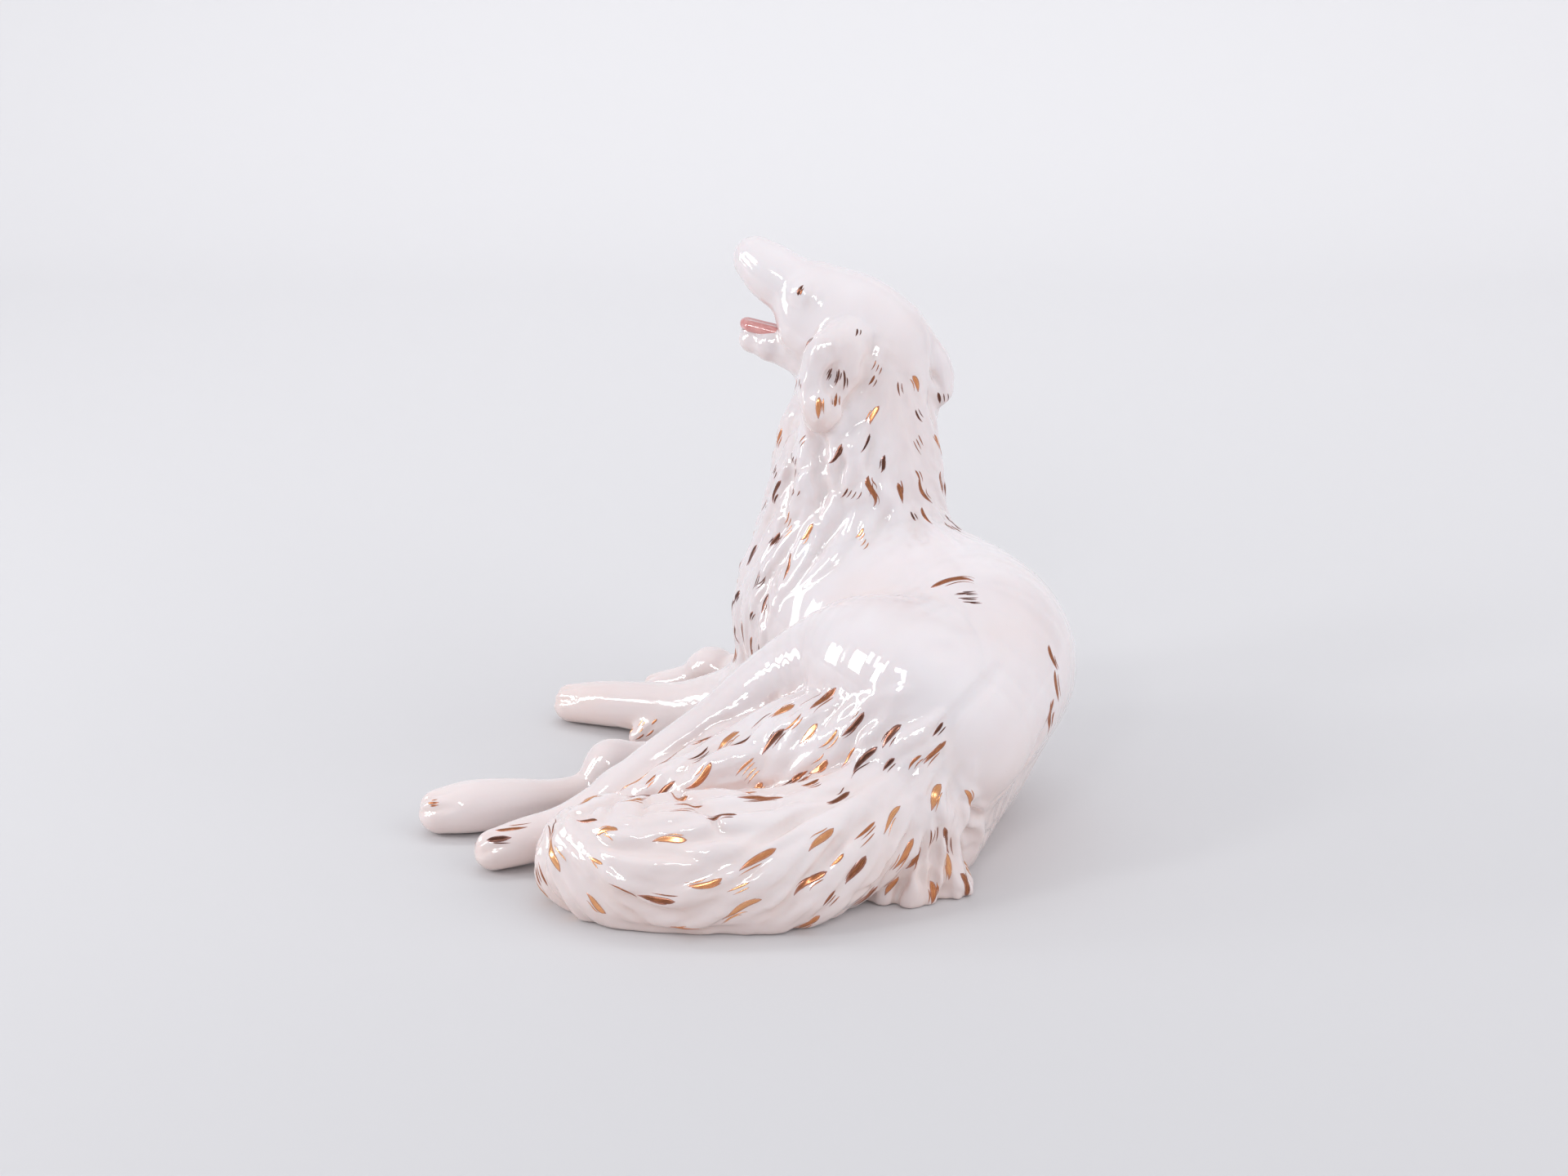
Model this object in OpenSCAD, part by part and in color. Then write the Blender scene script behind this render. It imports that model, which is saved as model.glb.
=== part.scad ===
// Reclining long-haired hound, a slip-cast ceramic figurine.
// It is cast in sections that are luted face to face with slip before firing:
// hollow trunk, neck and head shells, solid limbs, tail and ears, and a closing slab with a vent.
// Frame: +Z up, +Y from rump to chest, -X the side that the legs and the muzzle point to.
// The origin is at the centre of the figure's footprint box, on the resting face.

/* [Figure] */
// Overall height to the tip of the muzzle (mm)
figure_h = 225; // [180:1:300]
// Wall thickness of the hollow sections (mm)
wall_t = 4.5; // [3.5:0.5:6]

/* [Base] */
// Thickness of the closing slab under the trunk (mm)
slab_t = 5; // [4:0.5:7]
// Diameter of the vent in the closing slab (mm)
vent_d = 10; // [6:0.5:14]

/* [Hidden] */
// Height that the stations below are drawn for
design_h = 225;
// Ratio of the made figure to the drawn one
k = figure_h / design_h;
// Centre of the footprint box in the axes of the stations
footprint_centre = [-16.16, 127.91];
// Facets of the trunk and neck outside, of the limbs and of the hidden cores
ball_fn = 26;
limb_fn = 18;
core_fn = 14;
// Share of a trunk ball's radius that its flat foot takes
foot_share = 0.62;

// Stations are [x, y, z, radius].
trunk_stations = [
    [20, 192, 54, 40],
    [28, 170, 60, 45],
    [67, 138, 62, 50],
    [73, 110, 70, 40],
    [62, 78, 50, 34]
];
haunch_stations = [
    [68, 97, 31, 30],
    [46, 120, 27, 25]
];
neck_stations = [
    [24, 187, 84, 38],
    [31, 185, 110, 38],
    [31, 184, 134, 33.5],
    [33, 185, 156, 29.5],
    [34, 185, 176, 25]
];
skull_stations = [
    [38, 184, 183, 23],
    [29, 186, 191, 21.5],
    [17, 189, 197, 17.5]
];
muzzle_stations = [
    [10, 190.5, 201, 14.5],
    [-3.5, 196, 210, 11],
    [-12.5, 200.5, 217, 7.5]
];
jaw_stations = [
    [14, 190, 177, 11],
    [-3.5, 194, 180.5, 6],
    [-13, 198, 181.5, 4.8]
];
tongue_stations = [
    [4, 192, 185.5, 3.4],
    [-5.7, 195, 188, 3.4],
    [-15, 198, 189.2, 3.2]
];
left_ear_stations = [
    [24, 166, 189, 8.5],
    [16, 162, 187, 7],
    [26, 160, 182, 8],
    [17, 157, 175, 8],
    [15, 156, 164, 4.5]
];
right_ear_stations = [
    [54, 188, 184, 7],
    [60, 190, 174, 7],
    [62, 192, 166, 5.5],
    [61, 192, 161, 3]
];
left_foreleg_stations = [
    [0, 184, 30, 20],
    [-22, 195, 20, 15],
    [-45, 204, 14, 12],
    [-66, 212, 12, 10.5],
    [-81, 218, 10, 9.5],
    [-94, 223, 8, 8]
];
right_foreleg_stations = [
    [12, 213, 30, 17.5],
    [-10, 228, 24, 14],
    [-28, 236, 21, 11.5],
    [-43, 240, 14, 9.5],
    [-57, 242, 10, 8.5],
    [-67, 243, 7.4, 7.5]
];
left_hind_stations = [
    [49, 80, 76, 30],
    [24, 102, 76, 22],
    [-2, 108, 64, 14],
    [-26, 100, 51, 10],
    [-47, 93, 40, 8],
    [-65, 87, 27, 8.5],
    [-87, 79, 14, 9],
    [-103, 74, 11, 8.5],
    [-115, 71, 7.4, 7.5]
];
right_hind_stations = [
    [30, 142, 26, 20],
    [-20, 138, 22, 13],
    [-72, 128, 16.5, 9.5],
    [-92, 120, 12, 9],
    [-111, 112, 11, 9.5],
    [-128, 106, 11, 10.5],
    [-140, 106, 8.4, 8.5]
];
tail_stations = [
    [54, 60, 42, 20],
    [29, 48, 29, 24],
    [3, 39, 21, 27],
    [-28, 36, 19, 28],
    [-60, 40, 17, 26],
    [-74, 46, 16, 21]
];
thigh_feather_stations = [
    [45, 68, 56, 24],
    [14, 76, 50, 21],
    [-12, 77, 42, 18],
    [-34, 74, 33, 14],
    [-54, 70, 25, 11]
];
elbow_feather_stations = [
    [-44, 204, 12, 10],
    [-62, 200, 4, 5]
];
tuft_stations = [
    [54, 60, 34, 16],
    [42, 56, 8, 9.5],
    [61, 65, 6, 10]
];
// Corners of the closing slab, inside the trunk's resting face
slab_outline = [
    [2, 184],
    [0.5, 196],
    [8, 208],
    [22, 211.5],
    [35, 205],
    [46, 184],
    [60, 168],
    [74, 156],
    [81, 139],
    [80, 108],
    [70, 74],
    [62, 63],
    [48, 72],
    [52, 108],
    [48, 121],
    [14, 153],
    [5, 165]
];
vent_at = [40, 150];

// One ball of a chain
module ball(s, swell, detail) {
    translate([s[0], s[1], s[2]])
        sphere(r = s[3] + swell, $fn = detail);
}

// Balls joined one after another by their common skin
module chain(stations, swell = 0, detail = limb_fn) {
    for (i = [0 : len(stations) - 2]) {
        hull() {
            ball(stations[i], swell, detail);
            ball(stations[i + 1], swell, detail);
        }
    }
}

// Flat foot under a ball, so that the trunk sits broadly on the table
module foot(s, swell, detail) {
    translate([s[0], s[1], -1])
        cylinder(r = s[3] * foot_share + swell, h = 3, $fn = detail);
}

// Trunk: balls joined to each other and to the ground
module trunk_body(swell = 0, detail = ball_fn) {
    for (i = [0 : len(trunk_stations) - 2]) {
        hull() {
            ball(trunk_stations[i], swell, detail);
            ball(trunk_stations[i + 1], swell, detail);
            foot(trunk_stations[i], swell, detail);
            foot(trunk_stations[i + 1], swell, detail);
        }
    }
}

// Outside of the trunk with the haunch that it lies on
module trunk_solid() {
    trunk_body();
    chain(haunch_stations, 0, ball_fn);
}

// Outside of the head: skull and upper muzzle
module head_solid() {
    chain(skull_stations, 0, 22);
    chain(muzzle_stations, 0, 22);
}

// Toes of a paw: three small balls side by side across the paw's tip
module toes(s, heading, spread, r) {
    for (side = [-1, 0, 1]) {
        translate([s[0], s[1], s[2]])
            rotate([0, 0, heading + side * spread])
                translate([s[3] * 0.55, 0, -s[3] * 0.1])
                    sphere(r = r, $fn = 12);
    }
}

// Long locks along a chain: thin rolls on its skin, turning by twist degrees a station.
// axis "x" lays them round a chain that runs sideways, axis "z" round an upright one.
module locks(stations, angles, twist, r, axis) {
    for (a = angles) {
        for (i = [0 : len(stations) - 2]) {
            hull() {
                lock_ball(stations[i], a + twist * i, r, axis);
                lock_ball(stations[i + 1], a + twist * (i + 1), r, axis);
            }
        }
    }
}

// One ball of a lock, three fifths sunk in the skin
module lock_ball(s, a, r, axis) {
    reach = s[3] - 0.2 * r;
    translate([s[0], s[1], s[2]])
        translate(axis == "x" ? [0, reach * cos(a), reach * sin(a)] : [reach * cos(a), reach * sin(a), 0])
            sphere(r = r, $fn = 8);
}

// Everything below the resting face is ground away
module ground() {
    translate([-300, -100, -100])
        cube([600, 500, 100]);
}

// Puts a section in the part's frame at the made size
module placed() {
    scale(k)
        translate([-footprint_centre[0], -footprint_centre[1], 0])
            children();
}

// Plan shape of the closing slab, raised
module slab_blank(h) {
    linear_extrude(height = h)
        polygon(slab_outline);
}

module left_foreleg_solid() {
    chain(left_foreleg_stations);
    chain(elbow_feather_stations);
    toes(left_foreleg_stations[5], 158, 34, 4.6);
}

module right_foreleg_solid() {
    chain(right_foreleg_stations);
    toes(right_foreleg_stations[5], 174, 34, 4.4);
}

module left_hind_solid() {
    chain(left_hind_stations);
    chain(thigh_feather_stations);
    locks(thigh_feather_stations, [150, 180, 210, 240], 6, 3.4, "x");
    toes(left_hind_stations[8], 194, 34, 4.4);
}

module right_hind_solid() {
    chain(right_hind_stations);
    toes(right_hind_stations[6], 180, 34, 4.8);
}

module tail_solid() {
    chain(tail_stations, 0, 22);
    locks(tail_stations, [60, 92, 124, 156, 188], 9, 3.6, "x");
}

// Outside of the neck with the locks of its mane
module neck_solid() {
    chain(neck_stations, 0, ball_fn);
    locks(neck_stations, [0 : 30 : 330], 6, 3.4, "z");
}

// Hollow body, open below for the slab and above into the neck
module trunk_shell() {
    color("#efe6e4")
        placed()
            difference() {
                trunk_solid();
                ground();
                intersection() {
                    trunk_body(-wall_t, core_fn);
                    translate([-300, -100, slab_t / k])
                        cube([600, 500, 300]);
                }
                slab_blank(slab_t / k);
                chain([neck_stations[0], neck_stations[1]], -wall_t, core_fn);
            }
}

// Plate that closes the trunk from below, with the firing vent
module closing_slab() {
    color("#e3d3c6")
        difference() {
            placed()
                slab_blank(slab_t / k);
            translate([k * (vent_at[0] - footprint_centre[0]), k * (vent_at[1] - footprint_centre[1]), -1])
                cylinder(d = vent_d, h = slab_t + 2, $fn = 48);
        }
}

// Hollow neck with its mane, seated on the trunk and under the head
module neck_shell() {
    color("#f1e9e6")
        placed()
            difference() {
                neck_solid();
                chain(neck_stations, -wall_t, core_fn);
                trunk_solid();
                head_solid();
            }
}

// Hollow skull with the upper muzzle, open into the neck
module head_shell() {
    color("#f3ecea")
        placed()
            difference() {
                head_solid();
                chain(skull_stations, -wall_t, core_fn);
                chain([neck_stations[3], neck_stations[4]], -wall_t, core_fn);
            }
}

module lower_jaw() {
    color("#f3ecea")
        placed()
            difference() {
                chain(jaw_stations);
                head_solid();
                neck_solid();
            }
}

module tongue() {
    color("#cf7f7c")
        placed()
            difference() {
                chain(tongue_stations, 0, 14);
                chain(jaw_stations);
                head_solid();
                neck_solid();
            }
}

module left_ear() {
    color("#f1e9e6")
        placed()
            difference() {
                chain(left_ear_stations, 0, 16);
                head_solid();
                neck_solid();
            }
}

module right_ear() {
    color("#f1e9e6")
        placed()
            difference() {
                chain(right_ear_stations, 0, 16);
                head_solid();
                neck_solid();
            }
}

module left_foreleg() {
    color("#f3ecea")
        placed()
            difference() {
                left_foreleg_solid();
                ground();
                trunk_solid();
            }
}

module right_foreleg() {
    color("#f3ecea")
        placed()
            difference() {
                right_foreleg_solid();
                ground();
                trunk_solid();
                left_foreleg_solid();
            }
}

module left_hind_leg() {
    color("#f3ecea")
        placed()
            difference() {
                left_hind_solid();
                ground();
                trunk_solid();
                right_hind_solid();
            }
}

module right_hind_leg() {
    color("#f3ecea")
        placed()
            difference() {
                right_hind_solid();
                ground();
                trunk_solid();
            }
}

module tail_plume() {
    color("#efe4df")
        placed()
            difference() {
                tail_solid();
                ground();
                trunk_solid();
                left_hind_solid();
                right_hind_solid();
            }
}

module rump_tuft() {
    color("#efe4df")
        placed()
            difference() {
                hull() {
                    ball(tuft_stations[0], 0, 16);
                    ball(tuft_stations[1], 0, 16);
                    ball(tuft_stations[2], 0, 16);
                }
                ground();
                trunk_solid();
                tail_solid();
            }
}

trunk_shell();
closing_slab();
neck_shell();
head_shell();
lower_jaw();
tongue();
left_ear();
right_ear();
left_foreleg();
right_foreleg();
left_hind_leg();
right_hind_leg();
tail_plume();
rump_tuft();
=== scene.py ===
# Glazed slip-cast figurine of a reclining long-haired hound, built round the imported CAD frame.
# The body is sculpted as one distance field in millimetres, combed with locks, skinned with a
# surface net, and divided along the luted seams into the pieces that the CAD model names.
import math

import bpy
import numpy as np
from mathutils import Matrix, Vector
from mathutils.bvhtree import BVHTree


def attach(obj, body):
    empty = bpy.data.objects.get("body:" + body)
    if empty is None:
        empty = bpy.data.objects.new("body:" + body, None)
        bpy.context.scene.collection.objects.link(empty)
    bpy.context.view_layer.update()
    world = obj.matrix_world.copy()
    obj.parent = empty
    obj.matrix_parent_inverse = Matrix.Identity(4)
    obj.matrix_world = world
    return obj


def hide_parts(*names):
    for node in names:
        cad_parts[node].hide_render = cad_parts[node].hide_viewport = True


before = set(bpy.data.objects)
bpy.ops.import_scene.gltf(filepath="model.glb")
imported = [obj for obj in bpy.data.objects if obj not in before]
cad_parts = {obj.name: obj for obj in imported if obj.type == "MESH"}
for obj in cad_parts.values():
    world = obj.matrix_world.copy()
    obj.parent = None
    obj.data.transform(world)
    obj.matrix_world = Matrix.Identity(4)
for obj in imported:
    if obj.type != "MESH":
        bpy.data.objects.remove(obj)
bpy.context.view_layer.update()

MM = 0.001
# Centre of the footprint box in the axes that the stations are drawn in
ORIGIN = np.array([-16.16, 127.91, 0.0])
# Grid step of the body's field, and the distance kept where nothing is near
VOXEL = 0.9
FAR = 60.0
# Corners of a grid cell
CORNERS = [(x, y, z) for x in (0, 1) for y in (0, 1) for z in (0, 1)]
# Seeded chance for the modelling and for the painting
rng = np.random.default_rng(20)
paint = np.random.default_rng(7)

# ---------------- stations
# Chains of balls that the body is blended from. A station is x, y, z and radius.
STATIONS = {
    "trunk": [
        [20, 192, 56, 39], [32, 170, 64, 45.5], [52, 152, 66, 48.5], [67, 136, 63.5, 50], [74, 110, 69, 41],
        [64, 80, 58, 34],
    ],
    "belly": [
        [20, 192, 18, 31], [28, 170, 18, 33.5], [60, 140, 20, 36], [64, 116, 20, 29], [57, 82, 12, 22.5],
    ],
    "haunch": [[63, 104, 32, 26], [46, 120, 27, 25]],
    "neck": [
        [20, 188, 78, 37], [27, 186, 98, 38.5], [30, 185, 118, 36.5], [31.5, 184.5, 138, 33],
        [33, 185, 158, 28.8], [34, 186, 176, 24.8],
    ],
    "skull": [[37, 185, 182, 23.5], [28, 187, 191, 21.5], [17, 190, 197, 17.5]],
    "muzzle": [
        [12, 191, 199.5, 15], [4, 193.5, 205, 12.8], [-4.5, 196.5, 210.2, 12.0], [-11.6, 199.8, 215.6, 9.5],
    ],
    "cheek": [[20, 180, 186, 13], [8, 184, 189, 9.5]],
    "jaw": [[16, 190, 176, 12], [6, 192, 178.8, 8.8], [-4, 195, 181, 6.8], [-13, 198, 181.9, 5.8]],
    "tongue": [[6, 192, 184.6, 3.0], [-5, 195, 186.6, 3.2], [-15.2, 198, 188.6, 3.0]],
    "left_foreleg": [
        [2, 182, 34, 20], [-20, 193, 22, 15.5], [-44, 203, 14, 12], [-64, 211, 12.2, 10.6],
        [-79, 217, 10.8, 10], [-94, 223, 8.6, 8.6],
    ],
    "right_foreleg": [
        [12, 210, 30, 17], [-8, 225, 22, 12.5], [-24, 233, 17.5, 9.8], [-33, 236.5, 20, 9.6],
        [-41, 239, 13, 8], [-57, 242, 7.6, 7.4],
    ],
    "elbow": [[-44, 203, 12, 10], [-56, 201, 7, 7], [-64, 198.5, 3, 3.5]],
    "thigh": [
        [50, 80, 76, 31], [36, 90, 80, 27], [22, 102, 77, 21.5], [-2, 107, 65, 15.5], [-26, 100, 51, 11],
        [-47, 93, 40, 8.6], [-65, 87, 27, 8.6],
    ],
    "left_paw": [[-65, 87, 26, 9], [-85, 80, 15, 9], [-101, 75, 11, 9.2], [-114, 71.5, 8.6, 8.4]],
    "breeches": [
        [48, 68, 58, 25], [16, 75, 51, 22], [-10, 76, 42.5, 18.5], [-34, 73, 34, 15], [-56, 70, 25, 11],
    ],
    "shank": [[30, 142, 28, 20], [-20, 138, 23, 14], [-50, 133, 18, 10.5], [-71, 129, 19, 10.4]],
    "right_paw": [
        [-71, 129, 19, 10.4], [-81, 124, 10.5, 8], [-95, 118, 9, 8.4], [-110, 112, 10.5, 9.8],
        [-126, 107, 11, 10.8], [-139, 106, 9.4, 9.4],
    ],
    "tail": [
        [56, 60, 48, 16], [43, 54, 41, 18.5], [27, 46, 30, 23.5], [2, 38, 20, 27], [-28, 36, 18.5, 28],
        [-56, 39, 17, 26], [-74, 45, 16, 21],
    ],
    "tuft": [[55, 54, 36, 15], [51, 50, 18, 13], [50, 52, 5, 13]],
    "left_ear": [
        [31, 171, 190, 9], [25, 166.5, 189, 10], [25, 165, 182, 10.5], [21, 163, 174, 9.5],
        [17, 160, 165.5, 6.6], [14.5, 157.5, 159, 3.4],
    ],
    "left_ear_edge": [
        [19, 162, 190, 6.5], [14, 161, 183, 5.6], [12, 159.5, 174, 4.8], [12.5, 157, 163, 3.6],
    ],
    "left_ear_fold": [[22, 160.5, 190.5, 6], [17.5, 158.5, 189.5, 5.2], [13.5, 159.5, 187, 4.2]],
    "left_ear_knob": [[20, 157.2, 187, 3.2], [22, 157, 186, 3.0]],
    "right_ear": [
        [51, 184, 190, 7], [56.5, 184.5, 183, 7], [61.8, 185, 174.5, 6.6], [64, 186, 167, 5.2],
        [62.5, 187, 161, 3],
    ],
}
# Locks that spread from the foot of the tuft
TUFT_FLARES = [
    [[45, 48, 16, 8], [38, 46, 2.5, 7.5]],
    [[52, 46, 16, 8], [50, 45, 2, 8]],
    [[59, 50, 16, 8], [64, 52, 2.5, 8.5]],
]
# Brow and eyeball of each eye, the near one first
EYES = [[[7, 179.6, 207, 4.5], [10, 178.3, 205.5, 4.7]], [[6, 204, 208, 4.5], [9, 205, 206, 4.7]]]
# Outline of the plate that closes the body from below, x and y
SLAB_OUTLINE = [
    [2, 184], [0.5, 196], [8, 208], [22, 211.5], [35, 205], [46, 184], [60, 168], [74, 156], [81, 139],
    [80, 108], [70, 74], [62, 63], [48, 72], [52, 108], [48, 121], [14, 153], [5, 165],
]
SLAB_T, SLAB_GAP = 5.0, 0.3
# Single creases and ridges. Each runs between two places beside a chain, and a place is how far along the
# chain, the azimuth in degrees from there (0 is the near side, 90 is +X), and the elevation where it
# isn't 0. After the places come the radius of the tool and the height, below 0 for a crease.
CREASES = [
    ("neck", (0.85, -40), (0.40, -24), 2.2, -2.4), ("neck", (0.80, -30), (0.48, -22), 1.6, -1.5),
    ("neck", (0.73, -19), (0.45, -11), 1.8, -1.3), ("neck", (0.73, -62), (0.35, -50), 2.4, -1.6),
    ("left_ear", (0.42, -28), (0.64, -22), 3.0, -2.4),
    ("left_ear", (0.45, 12), (0.75, 10), 1.4, -0.8),
    ("left_ear", (0.10, 70), (0.85, 65), 2.2, -1.3), ("skull", (1, -27, 42), (1, -25, 16), 1.6, -0.7),
    ("thigh", (0, 73, 13), (0, 9, -20), 4.0, -1.6), ("thigh", (0, 42, 42), (0, 22, 43), 12.0, -1.0),
    ("trunk", (1, 97, 10), (1, 49, -46), 4.0, -1.3), ("tuft", (0.1, -10), (1, -22), 2.0, -2.4),
    ("tuft", (0.4, 3), (1, 4), 1.5, -1.4), ("tuft", (0.1, 15), (1, 27), 2.0, -2.4),
    ("tuft", (0.2, 35), (1, 58), 1.6, -1.5), ("tail", (0.84, 180, 45), (1, -50, 62), 2.2, -1.7),
    ("tail", (0.84, 180, 50), (0.94, 0, 65), 2.0, -1.6), ("tail", (0.80, 180, 55), (0.82, 0, 62), 1.8, -1.4),
    ("tail", (0.78, 180, 53), (0.64, 0, 54), 2.0, -1.5),
    ("tail", (0.77, 180, 50), (0.55, 180, 84), 2.2, -1.5),
    ("tail", (0.25, 0, 24), (0.57, 0, -21), 2.2, -1.8), ("tail", (0.16, 8, -14), (0.36, 0, -33), 2.0, -1.8),
    ("tail", (0.33, 0, 60), (0.65, 0, 24), 2.2, -1.6),
]
RIDGES = [
    ("neck", (0.82, -50), (0.31, -31), 5.0, 2.0), ("neck", (0.76, -11), (0.31, 8), 4.0, 1.5),
    ("neck", (0.57, 8), (0.39, 33), 4.5, 1.3), ("breeches", (0, -10, 71), (0.5, 20, 55), 5.0, 1.4),
    ("breeches", (0.98, 180, 80), (0.48, 0, 36), 3.2, 1.4), ("tail", (0, 22, 59), (0.34, 0, -30), 4.0, 1.8),
    ("tail", (0.86, 180, 50), (1, -43), 3.6, 1.4),
]
PAW_CHAINS = ("left_foreleg", "left_paw", "right_paw", "right_foreleg")


# ---------------- distance field
def densify(stations, parts=4):
    """Catmull-Rom stations between the given ones, so that a chain bends and tapers smoothly."""
    s = np.array(stations, float)
    if len(s) == 2:
        t = np.linspace(0, 1, parts + 1)[:, None]
        return s[0] * (1 - t) + s[1] * t
    ends = np.vstack([2 * s[0] - s[1], s, 2 * s[-1] - s[-2]])
    made = []
    for i in range(1, len(ends) - 2):
        a, b, c, d = ends[i - 1], ends[i], ends[i + 1], ends[i + 2]
        for t in np.arange(parts) / parts:
            bend, twist = 2 * a - 5 * b + 4 * c - d, 3 * b - a - 3 * c + d
            made.append(0.5 * (2 * b + (c - a) * t + bend * t * t + twist * t**3))
    made.append(s[-1])
    made = np.array(made)
    made[:, 3] = np.maximum(made[:, 3], s[:, 3].min() * 0.7)
    return made


def cone_distance(x, y, z, a, b):
    """Distance to a ball rolling from station a to station b."""
    ax, ay, az, ar = a
    ex, ey, ez = b[0] - ax, b[1] - ay, b[2] - az
    length2 = ex * ex + ey * ey + ez * ez + 1e-9
    px, py, pz = x - ax, y - ay, z - az
    t = np.clip((px * ex + py * ey + pz * ez) / length2, 0, 1)
    return np.sqrt((px - ex * t) ** 2 + (py - ey * t) ** 2 + (pz - ez * t) ** 2) - (ar + (b[3] - ar) * t)


def chain_distance(x, y, z, stations):
    d = None
    for a, b in zip(stations[:-1], stations[1:]):
        c = cone_distance(x, y, z, a, b)
        d = c if d is None else np.minimum(d, c)
    return d


def smooth_min(a, b, k):
    h = np.clip(0.5 + 0.5 * (b - a) / k, 0, 1)
    return b * (1 - h) + a * h - k * h * (1 - h)


class Field:
    """A distance field on a regular grid, in millimetres, in the stations' axes."""

    def __init__(self, low, high, step):
        self.low = np.array(low, float)
        self.step = step
        self.shape = tuple(int(math.ceil((h - l) / step)) + 1 for l, h in zip(low, high))
        self.d = np.full(self.shape, FAR, np.float32)

    def box(self, low, high):
        """The part of the grid between two corners, and its x, y and z."""
        i0 = np.maximum(np.floor((np.array(low) - self.low) / self.step).astype(int), 0)
        i1 = np.minimum(np.ceil((np.array(high) - self.low) / self.step).astype(int) + 1, self.shape)
        part = tuple(slice(a, b) for a, b in zip(i0, i1))
        axes = [self.low[n] + self.step * np.arange(i0[n], i1[n], dtype=np.float32) for n in range(3)]
        return part, axes[0][:, None, None], axes[1][None, :, None], axes[2][None, None, :]

    def add_chain(self, stations, k, margin=8.0):
        s = np.asarray(stations, np.float32)
        reach = s[:, 3].max() + k + margin
        part = self.box(s[:, :3].min(0) - reach, s[:, :3].max(0) + reach)[0]
        made = np.full(self.d[part].shape, FAR, np.float32)
        for a, b in zip(s[:-1], s[1:]):
            near = max(a[3], b[3]) + k + margin
            sub, sx, sy, sz = self.box(np.minimum(a, b)[:3] - near, np.maximum(a, b)[:3] + near)
            local = tuple(slice(q.start - p.start, q.stop - p.start) for q, p in zip(sub, part))
            made[local] = np.minimum(made[local], cone_distance(sx, sy, sz, a, b))
        self.d[part] = smooth_min(self.d[part], made, k) if k > 0 else np.minimum(self.d[part], made)

    def carve_chain(self, stations, k, margin=3.0):
        s = np.asarray(stations, np.float32)
        reach = s[:, 3].max() + k + margin
        part, x, y, z = self.box(s[:, :3].min(0) - reach, s[:, :3].max(0) + reach)
        self.d[part] = -smooth_min(-self.d[part], chain_distance(x, y, z, s), k)

    def sample(self, p):
        """Distance at points p, by trilinear interpolation."""
        q = (p - self.low) / self.step
        i = np.clip(np.floor(q).astype(int), 0, np.array(self.shape) - 2)
        f = q - i
        total = 0.0
        for corner in CORNERS:
            share = np.where(corner, f, 1 - f)
            total = total + share[:, 0] * share[:, 1] * share[:, 2] * self.d[tuple((i + corner).T)]
        return total

    def gradient(self, p):
        steps = self.step * np.eye(3)
        g = np.stack([self.sample(p + e) - self.sample(p - e) for e in steps], axis=1)
        return g / (np.linalg.norm(g, axis=1, keepdims=True) + 1e-9)

    def settle(self, p, rounds=3):
        """Moves points onto the surface."""
        for _ in range(rounds):
            p = p - self.sample(p)[:, None] * self.gradient(p)
        return p


def surface_net(field):
    """Vertices (stations' axes) and quads of the field's zero surface."""
    d = field.d
    inside = d < 0
    filled = np.zeros(tuple(n - 1 for n in d.shape), np.int8)
    for corner in CORNERS:
        filled += inside[tuple(slice(c, n - 1 + c) for c, n in zip(corner, d.shape))]
    cells = np.argwhere((filled > 0) & (filled < 8))
    index = np.full(filled.shape, -1, np.int32)
    index[tuple(cells.T)] = np.arange(len(cells))
    total = np.zeros((len(cells), 3))
    count = np.zeros(len(cells))
    for a in CORNERS:
        for axis in range(3):
            if a[axis]:
                continue
            b = list(a)
            b[axis] = 1
            va = d[tuple((cells + a).T)]
            vb = d[tuple((cells + b).T)]
            cross = (va < 0) != (vb < 0)
            t = np.where(cross, va / np.where(cross, va - vb, 1), 0)
            point = np.array(a, float) + t[:, None] * (np.array(b) - np.array(a))
            total[cross] += point[cross]
            count[cross] += 1
    points = field.low + field.step * (cells + total / count[:, None])
    quads = []
    for axis in range(3):
        u, v = (axis + 1) % 3, (axis + 2) % 3
        first = [slice(None)] * 3
        second = [slice(None)] * 3
        first[axis], second[axis] = slice(0, -1), slice(1, None)
        edges = np.argwhere(inside[tuple(first)] != inside[tuple(second)])
        edges = edges[(edges[:, u] > 0) & (edges[:, v] > 0)]
        edges = edges[(edges[:, u] < d.shape[u] - 1) & (edges[:, v] < d.shape[v] - 1)]
        ring = []
        for du, dv in ((1, 1), (0, 1), (0, 0), (1, 0)):
            c = edges.copy()
            c[:, u] -= du
            c[:, v] -= dv
            ring.append(index[tuple(c.T)])
        ring = np.stack(ring, axis=1)
        outside = ~inside[tuple(edges.T)]
        ring[outside] = ring[outside][:, ::-1]
        quads.append(ring)
    quads = np.vstack(quads)
    return points, quads[(quads >= 0).all(axis=1)]


chains = {name: densify(stations) for name, stations in STATIONS.items()}
# Which chains make which CAD node
NODE_CHAINS = {
    "trunk_shell": ["trunk", "belly", "haunch"],
    "neck_shell": ["neck"],
    "head_shell": ["skull", "muzzle", "cheek"],
    "lower_jaw": ["jaw"],
    "tongue": ["tongue"],
    "left_ear": ["left_ear", "left_ear_edge", "left_ear_fold", "left_ear_knob"],
    "right_ear": ["right_ear"],
    "left_foreleg": ["left_foreleg", "elbow"],
    "right_foreleg": ["right_foreleg"],
    "left_hind_leg": ["thigh", "left_paw", "breeches"],
    "right_hind_leg": ["shank", "right_paw"],
    "tail_plume": ["tail"],
    "rump_tuft": ["tuft"],
}

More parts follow.
